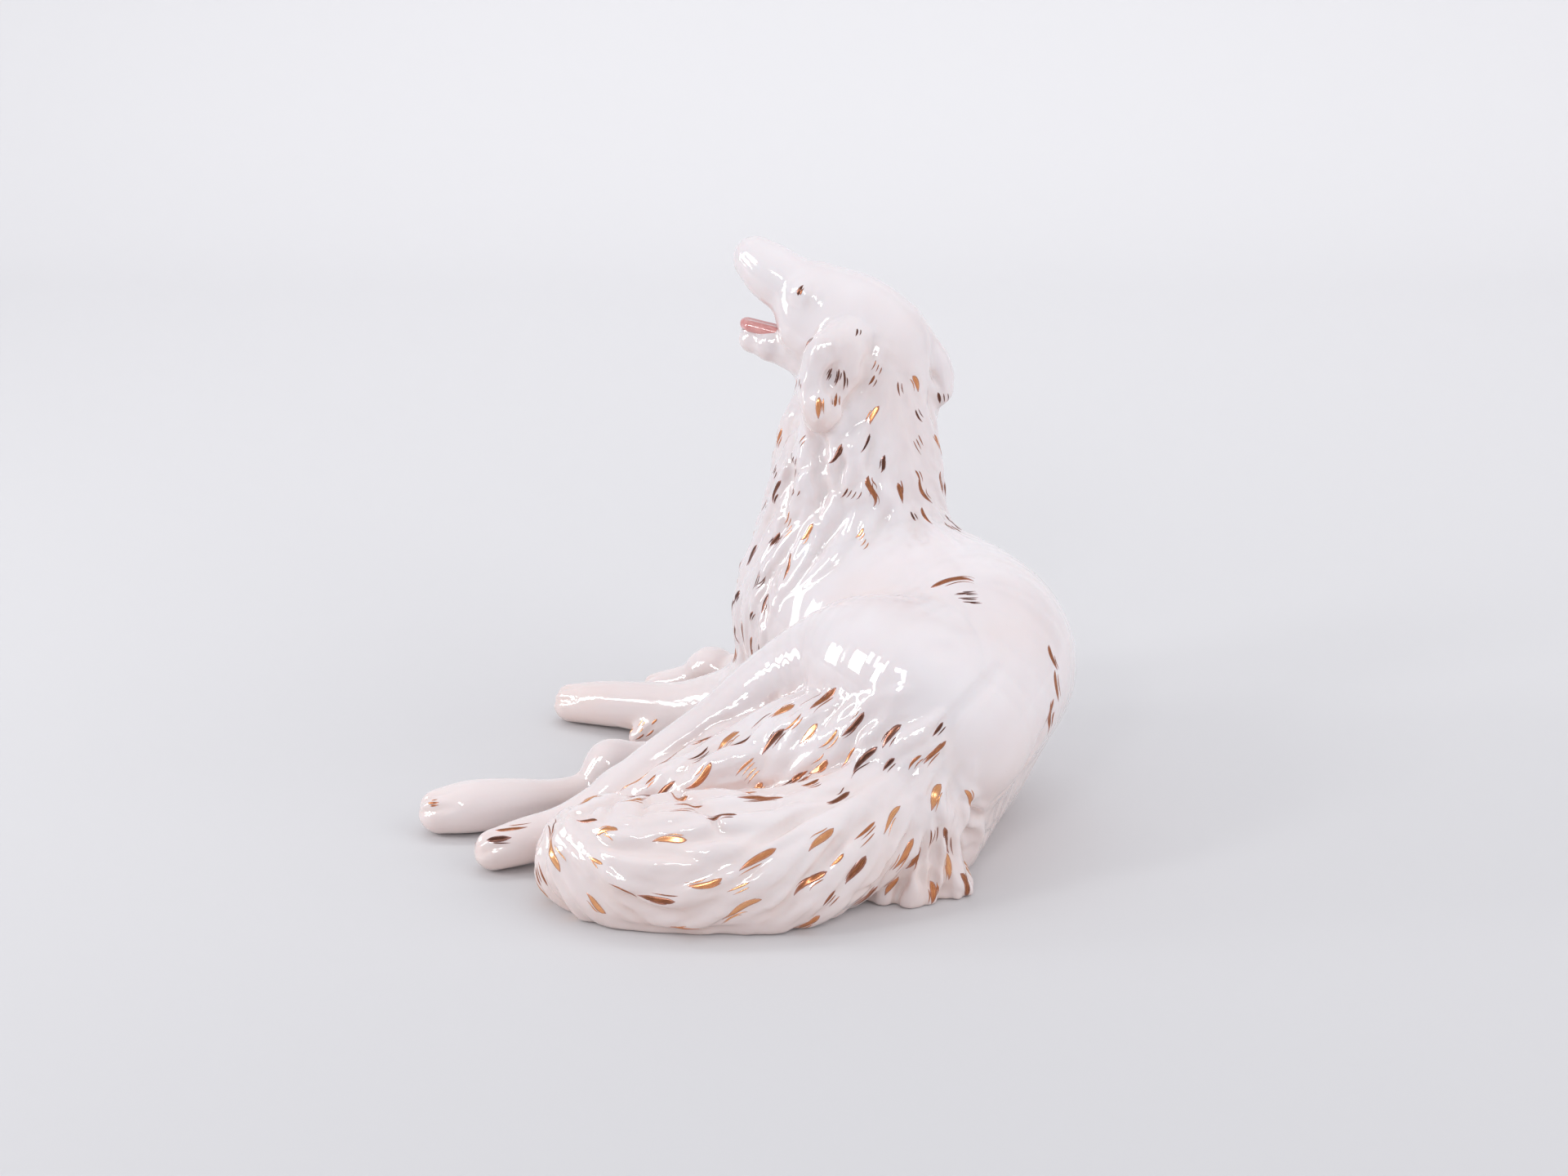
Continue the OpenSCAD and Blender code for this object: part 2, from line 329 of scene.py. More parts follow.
# The order in which the chains are blended in, and the reach of each blend
BLENDS = {
    "trunk": 0, "belly": 22, "haunch": 7, "shank": 6, "right_paw": 4, "thigh": 9, "left_paw": 5,
    "breeches": 5, "left_foreleg": 9, "right_foreleg": 9, "elbow": 3, "tail": 4, "tuft": 4, "neck": 16,
    "skull": 9, "cheek": 7, "muzzle": 7, "jaw": 4, "left_ear": 1.6, "left_ear_edge": 2, "left_ear_fold": 2,
    "left_ear_knob": 1.5, "right_ear": 1.4, "tongue": 1.2,
}
FLARE_BLEND, EYE_BLEND = 2.5, 4.0

field = Field([-156, 2, -6], [122, 256, 231], VOXEL)
for name, reach in BLENDS.items():
    field.add_chain(chains[name], reach)
for flare in TUFT_FLARES:
    field.add_chain(densify(flare), FLARE_BLEND)
for eye in EYES:
    field.add_chain(densify(eye), EYE_BLEND)


# ---------------- regions and hair flow
def unit(v):
    return v / (np.linalg.norm(v, axis=1, keepdims=True) + 1e-9)


def node_distances(p):
    """Distance of points to each node's chains, one column a node."""
    return np.stack([
        np.min([chain_distance(*p.T, chains[c]) for c in names], axis=0) for names in NODE_CHAINS.values()
    ], axis=1)


NODE_NAMES = list(NODE_CHAINS)


def ramp(v, low, high):
    """Rises smoothly from 0 to 1 as v goes from low to high."""
    t = np.clip((v - low) / (high - low), 0, 1)
    return t * t * (3 - 2 * t)


def ripple(p, scale, seed):
    """Smooth seeded wobble in -1..1."""
    local = np.random.default_rng(seed)
    total = np.zeros(len(p))
    waves, gain = 5, 1.6
    for _ in range(waves):
        k = unit(local.normal(size=(1, 3)))[0] / scale * local.uniform(0.7, 1.5)
        total += np.sin(p @ k * 2 * np.pi + local.uniform(0, 2 * np.pi))
    return total / waves * gain


# The neck's axis, the middle of the nape, the root of the mantle, and where plume and tuft turn
NECK_X, NECK_Y = 31, 185
NAPE = math.radians(-62)
MANTLE_ROOT = np.array([30, 186, 100])
PLUME_X, TUFT_X = -46, 51


def neck_flow(p):
    """Down the neck and away from the nape on both sides, less so at the nape and the throat."""
    angle = np.arctan2(p[:, 1] - NECK_Y, p[:, 0] - NECK_X)
    off = (angle - NAPE + np.pi) % (2 * np.pi) - np.pi
    outward = np.sign(off) * np.clip(np.abs(off) / 0.35, 0, 1) * np.clip((2.9 - np.abs(off)) / 1.2, 0, 1)
    round_way = np.stack([-np.sin(angle), np.cos(angle), 0 * angle], axis=1)
    return round_way * (0.55 * outward)[:, None] + np.array([0, 0, -1.0])


def mantle_flow(p):
    return unit(p - MANTLE_ROOT) + np.array([-0.25, 0, -0.75])


def tail_flow(p):
    """Along the plume: up to its highest place, and down past it."""
    over = p[:, 0] - PLUME_X
    dip = np.where(over > 0, -0.017 * over, -0.03 * over)
    return np.stack([-np.ones(len(p)), 0 * dip, dip], axis=1)


def tuft_flow(p):
    return np.stack([(p[:, 0] - TUFT_X) * 0.035 - 0.1, 0 * p[:, 0] - 0.05, -np.ones(len(p))], axis=1)


# The way of the hair on each section, as a direction or a function that gives it
HAIR_WAYS = {
    "neck_shell": neck_flow, "trunk_shell": mantle_flow, "left_hind_leg": (-0.75, -0.25, -0.75),
    "tail_plume": tail_flow, "rump_tuft": tuft_flow, "left_foreleg": (-0.75, -0.3, -0.6),
    "left_ear": (-0.35, -0.1, -1.0), "right_ear": (-0.35, -0.1, -1.0),
}


def hair_flow(p, node):
    """Direction of the hair at points whose nearest node is given."""
    flow = np.tile([0.2, -0.4, -0.9], (len(p), 1))
    for name, way in HAIR_WAYS.items():
        here = node == NODE_NAMES.index(name)
        if here.any():
            flow[here] = way(p[here]) if callable(way) else way
    return unit(flow)


def fur_weight(p, node):
    """1 where the coat is long, 0 where the body is smooth."""
    x, y, z = p.T
    weight = np.zeros(len(p))
    is_node = {n: node == i for i, n in enumerate(NODE_NAMES)}
    for name, long in (("neck_shell", 1), ("tail_plume", 1), ("rump_tuft", 1), ("left_ear", 0.6)):
        weight[is_node[name]] = long
    # The mantle's edge climbs from the chest to the withers
    mantle = ramp(z - 44 - (x + 28) * 0.66, -3, 3) * ramp(y, 146, 156)
    mantle = np.maximum(mantle, ramp(-x, 0, 10) * ramp(y, 165, 175))
    weight = np.where(is_node["trunk_shell"], mantle, weight)
    feather = chain_distance(x, y, z, chains["breeches"]) - chain_distance(x, y, z, chains["thigh"])
    weight = np.where(is_node["left_hind_leg"], ramp(-feather, -1.0, 2.5) * ramp(x, -66, -56), weight)
    near_elbow = chain_distance(x, y, z, chains["elbow"])
    return np.where(is_node["left_foreleg"], ramp(-near_elbow, -1.5, 0) * ramp(-x, 46, 52), weight)


def trace(p, steps, step, bend, node):
    """Paths on the surface that follow the hair, as a list of points."""
    path = [p]
    for i in range(steps):
        n = field.gradient(p)
        way = hair_flow(p, node)
        way = unit(way - (way * n).sum(1, keepdims=True) * n)
        side = np.cross(n, way)
        turn = bend * math.cos(math.pi * i / steps)
        way = way * np.cos(turn)[:, None] + side * np.sin(turn)[:, None]
        p = field.settle(p + step[:, None] * way, 1)
        path.append(p)
    return path


def scatter(p, spacing, source=None):
    """Indices of points of p that keep that distance from each other, in random order."""
    cells = {}
    kept = []
    for i in (source or rng).permutation(len(p)):
        x, y, z = key = tuple((p[i] // spacing).astype(int))
        cells_near = ((x + a, y + b, z + c) for a in (-1, 0, 1) for b in (-1, 0, 1) for c in (-1, 0, 1))
        near = (q for cell in cells_near for q in cells.get(cell, ()))
        if all(((p[i] - q) ** 2).sum() > spacing * spacing for q in near):
            cells.setdefault(key, []).append(p[i])
            kept.append(i)
    return np.array(kept, int)


# How many places a lock may grow from
ROOTS = 24000
base_points, _ = surface_net(field)
base_points = base_points[rng.permutation(len(base_points))[:ROOTS]]
base_node = node_distances(base_points).argmin(1)
base_fur = fur_weight(base_points, base_node)

# Node -> spacing, length, core radius and height of its locks in each pass; a height below 0 is a crease
LOCKS = {
    "neck_shell": ((12.5, 44, 6.0, 1.6), (12.0, 34, 2.1, -1.3), (8.0, 24, 2.8, 0.6)),
    "trunk_shell": ((10.5, 38, 5.2, 1.6), (10.5, 30, 2.1, -1.2), (7.5, 22, 2.6, 0.6)),
    "left_hind_leg": ((9.0, 34, 4.8, 1.7), (9.0, 28, 1.9, -1.2), (7.0, 20, 2.4, 0.6)),
    "tail_plume": ((11.5, 42, 6.0, 1.5), (13.0, 40, 2.0, -1.2), (9.5, 28, 2.8, 0.5)),
    "rump_tuft": ((6.5, 22, 3.6, 1.7), (6.0, 16, 1.5, -1.2), (4.5, 14, 2.0, 0.9)),
    "left_foreleg": (None, None, (3.6, 11, 1.9, 1.1)),
    "left_ear": (None, None, (4.5, 12, 1.9, 0.6)),
}
LOCK_PASSES, LOCK_STEPS = 3, 9
# Reaches of the blend of a lock, a ridge, a crease and a toe's groove
LOCK_BLEND, RIDGE_BLEND, CREASE_BLEND, TOE_BLEND = 0.9, 2.0, 1.0, 0.6


def coat_strength(p, node):
    """The locks stand high on the throat side and low on the nape, as the modeller left them."""
    quiet = (node == NODE_NAMES.index("neck_shell")) * ramp(p[:, 0], 28, 44) * ramp(-p[:, 1], -182, -170)
    return 1 - 0.6 * quiet


def press(path, blend):
    """Stamps one path: above the surface it adds a lock, below it cuts a crease."""
    q, radius, height = path
    n = field.gradient(q)
    if height.mean() > 0:
        centre = q - n * (radius - height)[:, None]
        field.add_chain(np.hstack([centre, radius[:, None]]), blend, 1.5)
    else:
        centre = q + n * (radius + height)[:, None]
        field.carve_chain(np.hstack([centre, radius[:, None]]), blend + 0.5)


def lay_locks(name, spacing, length, radius, height):
    """Paths of one pass over one section, each with its radius and height along it."""
    i = NODE_NAMES.index(name)
    here = np.flatnonzero((base_node == i) & (base_fur > 0.5) & (base_points[:, 2] > 1.5))
    here = here[scatter(base_points[here], spacing)]
    p = base_points[here]
    node = np.full(len(p), i)
    size = rng.uniform(0.7, 1.35, len(p))
    bend = rng.uniform(-0.6, 0.6, len(p))
    start = field.settle(p - 0.35 * length * size[:, None] * hair_flow(p, node), 3)
    path = np.stack(trace(start, LOCK_STEPS, size * length / LOCK_STEPS, bend, node), axis=1)
    tall = height * rng.uniform(0.5, 1.25, len(p)) * coat_strength(p, node)
    swell = np.sin(np.pi * np.linspace(0, 1, LOCK_STEPS + 1) ** 0.75) ** 0.7
    swell[0] = swell[-1] = 0
    sink = np.sign(height) * 0.25 * (1 - swell)
    shape = 0.45 + 0.55 * swell
    return [(path[j], radius * size[j] * shape, tall[j] * swell - sink) for j in range(len(p))]


def comb():
    """Lays each pass of locks over the whole coat before it is pressed in."""
    for turn in range(LOCK_PASSES):
        laid = []
        for name, passes in LOCKS.items():
            if passes[turn]:
                laid += lay_locks(name, *passes[turn])
        for lock in laid:
            press(lock, LOCK_BLEND)


def beside(chain, along, azimuth, elevation=0):
    """A place on the outside of a chain."""
    stations = chains[chain]
    i = along * (len(stations) - 1)
    first = min(int(i), len(stations) - 2)
    here = stations[first] + (i - first) * (stations[first + 1] - stations[first])
    a, e = math.radians(azimuth), math.radians(elevation)
    out = np.array([math.sin(a) * math.cos(e), -math.cos(a) * math.cos(e), math.sin(e)])
    return here[:3] + here[3] * out


def press_line(chain, start, end, radius, height, blend):
    """Presses a crease or a ridge between two places beside a chain."""
    first, last = beside(chain, *start), beside(chain, *end)
    press(rough_path([first + u * (last - first) for u in np.linspace(0, 1, 5)], radius, height), blend)


def rough_path(points_beside, radius, height):
    """A path through rough points beside the surface, tapering at both ends."""
    stations = densify([[*q, 1] for q in points_beside])
    q = field.settle(stations[:, :3], 6)
    u = np.linspace(0, 1, len(q))
    swell = np.sin(np.pi * (0.04 + 0.92 * u)) ** 0.6
    return q, radius * (0.5 + 0.5 * swell), height * swell - np.sign(height) * 0.2 * (1 - swell)


def toes():
    """Three grooves over the tip of each paw part its toes."""
    for name in PAW_CHAINS:
        behind, tip = np.array(STATIONS[name][-2:])
        way = unit((tip - behind)[None, :3])[0]
        side = unit(np.cross(way, [0, 0, 1])[None])[0]
        over = np.cross(side, way)
        for turn in (-62, -18, 28):
            out = math.cos(math.radians(turn)) * over + math.sin(math.radians(turn)) * side
            forward = (-0.7, 0, 0.55, 0.9, 0.99)
            line = [tip[:3] + tip[3] * (f * way + math.sqrt(1 - max(f, 0) ** 2) * out) for f in forward]
            press(rough_path(line, 1.2, -1.3), TOE_BLEND)


for ridge in RIDGES:
    press_line(*ridge, RIDGE_BLEND)
comb()
for crease in CREASES:
    press_line(*crease, CREASE_BLEND)
toes()


def soften(rounds):
    """The glaze fills and rounds what was modelled."""
    for _ in range(rounds):
        for axis in range(3):
            d = np.moveaxis(field.d, axis, 0)
            d[1:-1] = 0.25 * d[:-2] + 0.5 * d[1:-1] + 0.25 * d[2:]


def grind_flat():
    """The figure is ground flat where it rests."""
    part, _, _, height = field.box([-200, -50, -8], [200, 300, 8])
    field.d[part] = -smooth_min(-field.d[part], height, 1.6)


def slab_recess():
    """The seat of the closing plate in the underside."""
    outline = np.array(SLAB_OUTLINE, np.float32)
    part, x, y, z = field.box([-6, 50, -8], [100, 220, SLAB_T + 4])
    x, y = x[:, :, 0], y[:, :, 0]
    nearest = np.full(np.broadcast(x, y).shape, FAR, np.float32)
    inside = np.zeros(nearest.shape, bool)
    for (ax, ay), (bx, by) in zip(outline, np.roll(outline, -1, axis=0)):
        ex, ey = bx - ax, by - ay
        t = np.clip(((x - ax) * ex + (y - ay) * ey) / (ex * ex + ey * ey), 0, 1)
        nearest = np.minimum(nearest, np.hypot(x - ax - ex * t, y - ay - ey * t))
        inside ^= ((ay > y) != (by > y)) & (x < (bx - ax) * (y - ay) / (by - ay + 1e-9) + ax)
    across = np.where(inside, -nearest, nearest) - SLAB_GAP
    recess = np.maximum(across[:, :, None], z - SLAB_T - SLAB_GAP)
    field.d[part] = np.maximum(field.d[part], -recess)


def even_out(p, edges, rounds):
    """Takes fine steps out of the skin without shrinking it, where edges joins its points."""
    first, second = edges.T
    ends = np.concatenate([first, second])
    count = np.bincount(ends, minlength=len(p))
    joined = (count > 0)[:, None]
    for _ in range(rounds):
        for amount in (0.5, -0.53):
            others = np.concatenate([p[second], p[first]])
            total = np.stack([np.bincount(ends, others[:, n], len(p)) for n in range(3)], axis=1)
            p = np.where(joined, p + amount * (total / np.maximum(count, 1)[:, None] - p), p)
    return p


soften(1)
grind_flat()
slab_recess()
points, quads = surface_net(field)
edges = np.unique(np.sort(np.vstack([quads[:, [i, (i + 1) % 4]] for i in range(4)]), axis=1), axis=0)
points = even_out(points, edges, 3)
# The smooth body and thigh are scraped evener than the coat
near_node = node_distances(points).argmin(1)
scraped = np.isin(near_node, [NODE_NAMES.index("trunk_shell"), NODE_NAMES.index("left_hind_leg")])
scraped &= (fur_weight(points, near_node) < 0.1) & (points[:, 2] > SLAB_T + 2)
points = even_out(points, edges[scraped[edges].all(1)], 30)


# ---------------- materials
class Shader:
    """A material in the making, with short ways to add its nodes."""

    def __init__(self, name):
        self.material = bpy.data.materials.new(name)
        self.material.use_nodes = True
        self.tree = self.material.node_tree

    def feed(self, socket, value):
        """Links another node's output to a socket, or sets a plain value on it."""
        if isinstance(value, bpy.types.NodeSocket):
            self.tree.links.new(value, socket)
        else:
            socket.default_value = value

    def surface(self, values):
        """Feeds the sockets of the surface itself."""
        for name, value in values.items():
            self.feed(self.tree.nodes["Principled BSDF"].inputs[name], value)

    def node(self, kind, **values):
        made = self.tree.nodes.new("ShaderNode" + kind)
        for key, value in values.items():
            if key in made.inputs:
                self.feed(made.inputs[key], value)
            else:
                setattr(made, key, value)
        return made

    def place(self):
        return self.node("NewGeometry").outputs["Position"]

    def painted(self, name):
        """A value that the mesh carries."""
        return self.node("Attribute", attribute_name=name).outputs["Fac"]

    def noise(self, vector, **values):
        return self.node("TexNoise", Vector=vector, **values).outputs["Fac"]

    def maths(self, operation, *values, clamp=False):
        made = self.node("Math", operation=operation, use_clamp=clamp)
        for socket, value in zip(made.inputs, values):
            self.feed(socket, value)
        return made.outputs[0]

    def span(self, factor, low, high):
        """A factor from 0 to 1 stretched between two values."""
        return self.node("MapRange", **{"Value": factor, "To Min": low, "To Max": high}).outputs["Result"]

    def ramp(self, factor, stops):
        made = self.node("ValToRGB", Fac=factor)
        elements = made.color_ramp.elements
        while len(elements) < len(stops):
            elements.new(0.5)
        for element, (place, colour) in zip(elements, stops):
            element.position = place
            element.color = (*colour, 1)
        return made.outputs["Color"]

    def mix(self, factor, first, second):
        made = self.node("Mix", data_type="RGBA")
        for i, value in ((0, factor), (6, first), (7, second)):
            self.feed(made.inputs[i], value)
        return made.outputs[2]

    def bump(self, height, strength, distance):
        return self.node("Bump", Height=height, Strength=strength, Distance=distance).outputs["Normal"]


def glaze_material():
    """Clear gloss over a warm white body with faint pits; painted shade and warm floor bounce make it rosier
    in hollows and low down.
    """
    glaze = Shader("glaze")
    place = glaze.place()
    cloud = glaze.noise(place, Scale=22.0, Detail=3.0)
    white = glaze.ramp(cloud, [(0.32, (0.77, 0.69, 0.70)), (0.68, (0.83, 0.775, 0.795))])
    # Painted shade and floor bounce: the mesh's tint-and-shade value mixes a rosy peach into the white
    shaded_white = glaze.mix(glaze.painted("tint_and_shade"), white, (0.81, 0.60, 0.52, 1))
    speck = glaze.node("TexVoronoi", Vector=place, Scale=150.0).outputs["Distance"]
    pit = glaze.maths("MULTIPLY", glaze.ramp(speck, [(0.0, (1, 1, 1)), (0.035, (0, 0, 0))]), 0.35)
    waves = glaze.bump(glaze.noise(place, Scale=55.0, Detail=0.0), 0.08, 0.0012)
    glaze.surface({
        "Base Color": glaze.mix(pit, shaded_white, (0.45, 0.36, 0.33, 1)),
        "Normal": waves,
        "Coat Normal": waves,
        "Roughness": glaze.span(cloud, 0.05, 0.11),
        "Subsurface Weight": 0.12,
        "Subsurface Radius": (0.004, 0.0018, 0.0013),
        "Subsurface Scale": 1.0,
        "IOR": 1.52,
        "Coat Weight": 0.6,
        "Coat Roughness": 0.03,
        "Coat IOR": 1.5,
    })
    return glaze.material


def tongue_material():
    """Glossy pink underglaze, mottled by the brush."""
    pink = Shader("tongue_glaze")
    cloud = pink.noise(pink.place(), Scale=240.0, Detail=4.0)
    pink.surface({
        "Base Color": pink.ramp(cloud, [(0.3, (0.62, 0.24, 0.23)), (0.7, (0.76, 0.38, 0.36))]),
        "Roughness": 0.12,
        "Coat Weight": 0.6,
        "Coat Roughness": 0.03,
    })
    return pink.material


def bisque_material():
    """Bare fired clay with a fine grain."""
    bisque = Shader("bisque")
    grain = bisque.noise(bisque.place(), Scale=900.0, Detail=6.0)
    bisque.surface({
        "Base Color": bisque.ramp(grain, [(0.35, (0.56, 0.43, 0.35)), (0.65, (0.72, 0.60, 0.52))]),
        "Normal": bisque.bump(grain, 0.35, 0.0004),
        "Roughness": 0.85,
    })
    return bisque.material


def lustre_material():
    """Brushed metal lustre: the tone of each stroke, bristle streaks along it, a thin mauve edge."""
    lustre = Shader("lustre")
    edge = lustre.painted("edge")
    brush = lustre.node("UVMap", uv_map="brush").outputs["UV"]
    stretched = lustre.node("Mapping", Vector=brush, Scale=(1.3, 7.0, 1.0)).outputs["Vector"]
    streak = lustre.noise(stretched, Scale=1.0, Detail=4.0, Roughness=0.6)
    shift = lustre.maths("MULTIPLY_ADD", streak, 0.9, -0.45)
    metal = lustre.ramp(lustre.maths("ADD", shift, lustre.painted("tone"), clamp=True), [
        (0.0, (0.06, 0.028, 0.022)),
        (0.3, (0.26, 0.095, 0.045)),
        (0.6, (0.66, 0.25, 0.10)),
        (1.0, (0.88, 0.45, 0.21)),
    ])
    lustre.surface({
        "Base Color": lustre.mix(edge, metal, (0.55, 0.30, 0.27, 1)),
        "Metallic": lustre.span(edge, 0.92, 0.35),
        "Roughness": lustre.span(streak, 0.16, 0.34),
    })
    return lustre.material


GLAZE = glaze_material()
TONGUE_GLAZE = tongue_material()
BISQUE = bisque_material()
LUSTRE = lustre_material()


# ---------------- pieces
def majority_labels(labels, neighbours, rounds):
    """Removes stray patches: a vertex takes the label that most of its neighbours have."""
    kinds = labels.max() + 1
    for _ in range(rounds):
        votes = np.zeros((len(labels), kinds), np.int16)
        np.add.at(votes, (neighbours[:, 0], labels[neighbours[:, 1]]), 1)
        np.add.at(votes, (neighbours[:, 1], labels[neighbours[:, 0]]), 1)
        votes[np.arange(len(labels)), labels] += 1
        labels = votes.argmax(1)
    return labels


def largest_part(faces, count):
    """Which faces belong to the biggest connected part."""
    root = np.arange(count)
    for _ in range(400):
        low = root[faces].min(1)
        fresh = root.copy()
        np.minimum.at(fresh, faces.ravel(), np.repeat(low, faces.shape[1]))
        fresh = fresh[fresh]
        if (fresh == root).all():
            break
        root = fresh
    ids, sizes = np.unique(root[faces[:, 0]], return_counts=True)
    return root[faces[:, 0]] == ids[sizes.argmax()]


def vertex_normals(p, faces):
    a, b, c, d = (p[faces[:, i]] for i in range(4))
    n = np.cross(c - a, d - b)
    total = np.zeros_like(p)
    for i in range(4):
        np.add.at(total, faces[:, i], n)
    return unit(total)


def make_mesh(name, p, faces, materials):
    """An object from points in the stations' axes."""
    made = bpy.data.meshes.new(name)
    made.from_pydata(((p - ORIGIN) * MM).tolist(), [], faces)
    for m in materials:
        made.materials.append(m)
    made.shade_smooth()
    made.update()
    thing = bpy.data.objects.new(name, made)
    bpy.context.scene.collection.objects.link(thing)
    return thing


def carry(thing, name, values):
    """Gives each point of a mesh a value for its material."""
    layer = thing.data.attributes.new(name, "FLOAT", "POINT")
    layer.data.foreach_set("value", np.array(values, np.float32))


def section_of_faces():
    """The section of each face. Stray patches of one section go to the section round them."""
    section = point_node[quads]
    section = np.where(section[:, 0] == section[:, 2], section[:, 0], section[:, 1])
    for i in range(len(NODE_NAMES)):
        here = np.flatnonzero(section == i)
        if not len(here):
            continue
        stray = here[~largest_part(quads[here], len(points))]
        around = np.isin(quads, np.unique(quads[stray])).any(1) & (section != i)
        if around.any():
            section[stray] = np.bincount(section[around]).argmax()
    return section


def straighten_seams(rounds):
    """Evens the seams between sections out along the surface."""
    lowest = np.full(len(points), len(NODE_NAMES))
    highest = np.full(len(points), -1)
    for i in range(4):
        np.minimum.at(lowest, quads[:, i], face_node)
        np.maximum.at(highest, quads[:, i], face_node)
    seam = lowest != highest
    seam_edges = edges[seam[edges].all(1)]
    for _ in range(rounds):
        total = np.zeros_like(points)
        count = np.zeros(len(points))
        for a, b in ((0, 1), (1, 0)):
            np.add.at(total, seam_edges[:, a], points[seam_edges[:, b]])
            np.add.at(count, seam_edges[:, a], 1)
        move = seam & (count >= 2)
        goal = total[move] / count[move][:, None] - points[move]
        goal -= (goal * normals[move]).sum(1, keepdims=True) * normals[move]
        points[move] += 0.5 * goal


def tint_and_painted_shade():
    """Painted shade and warm floor bounce: hollows, the low parts and what faces down are rosier; the ear's
    tip is tinted and a ripple varies the tone.
    """
    shade_in_hollows = ramp(2.5 - field.sample(points + 2.5 * normals), 0.1, 1.1)
    shade_facing_down = ramp(-normals[:, 2], -0.35, 0.9)
    shade_low_down = ramp(-points[:, 2], -75, 0)
    tint_and_shade = 0.17 * shade_in_hollows + 0.28 * shade_facing_down + 0.28 * shade_low_down + 0.12 * ramp(ripple(points, 60, 5), 0.0, 1.2)
    ear = point_node == NODE_NAMES.index("left_ear")
    return np.clip(tint_and_shade + np.where(ear, 0.25 * ramp(-points[:, 2], -176, -158), 0), 0, 1)


WALL = 1.7
point_node = majority_labels(node_distances(points).argmin(1), edges, 6)
normals = vertex_normals(points, quads)
face_node = section_of_faces()
straighten_seams(8)
points[:, 2] = np.maximum(points[:, 2], 0)
normals = vertex_normals(points, quads)
# Painted shade and warm floor bounce, with a random tint, for the glaze's colour
tint_and_shade = tint_and_painted_shade()


def shell_piece(name, faces):
    """One section of the casting: its skin, an inner one a wall's thickness behind it, and the rim."""
    used = np.unique(faces)
    n = len(used)
    local = np.searchsorted(used, faces)
    outer, up = points[used], normals[used]
    inner = outer - WALL * up
    inner[:, 2] = np.maximum(inner[:, 2], outer[:, 2].min())
    ring = np.vstack([local[:, [k, (k + 1) % 4]] for k in range(4)])
    code = ring.min(1) * np.int64(n) + ring.max(1)
    _, first, times = np.unique(code, return_index=True, return_counts=True)
    rim = ring[first[times == 1]]
    rim_faces = np.stack([rim[:, 1], rim[:, 0], rim[:, 0] + n, rim[:, 1] + n], axis=1)
    all_faces = np.vstack([local, local[:, ::-1] + n, rim_faces])
    thing = make_mesh(name + "_glazed", np.vstack([outer, inner]), all_faces.tolist(), [GLAZE])
    thing.data.normals_split_custom_set_from_vertices(np.vstack([up, -up]).tolist())
    # The painted shade and tint go with the skin as a value for the glaze
    carry(thing, "tint_and_shade", np.tile(tint_and_shade[used], 2))
    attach(thing, "root")
    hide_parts(name)


def tongue_piece():
    """The tongue: a curled tapering slab with a groove down its middle, its own closed surface."""
    own = Field([-26, 184, 176], [16, 210, 200], 0.45)
    own.add_chain(chains["tongue"], 0)
    own.add_chain(densify([[-2, 191.5, 186.0, 2.4], [-14.5, 194.6, 188.4, 2.3]]), 1.6)
    own.add_chain(densify([[-4, 198.5, 186.0, 2.4], [-16, 201.4, 188.2, 2.2]]), 1.6)
    groove = densify([[2, 192.6, 190.0, 2.4], [-7, 195.4, 191.9, 2.4], [-19, 199, 194.0, 2.4]])
    own.carve_chain(groove, 1.6, 40)
    p, faces = surface_net(own)
    thing = make_mesh("tongue_glazed", p, faces.tolist(), [TONGUE_GLAZE])
    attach(thing, "root")
    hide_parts("tongue")


def closing_slab():
    """The plate keeps its CAD mesh and shows bare clay."""
    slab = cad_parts["closing_slab"]
    slab.data.materials.clear()
    slab.data.materials.append(BISQUE)


for i, name in enumerate(NODE_NAMES):
    if name != "tongue":
        shell_piece(name, quads[face_node == i])
tongue_piece()
closing_slab()


# ---------------- lustre strokes
skin_tree = BVHTree.FromPolygons(points.tolist(), quads.tolist(), epsilon=0.0)


def on_skin(p):
    """Nearest places on the finished skin and the normals there."""
    place, normal = [], []
    for q in p:
        hit, _, index, _ = skin_tree.find_nearest(Vector(q))
        place.append(hit)
        normal.append(normals[quads[index]].mean(0))
    return np.array(place), unit(np.array(normal))


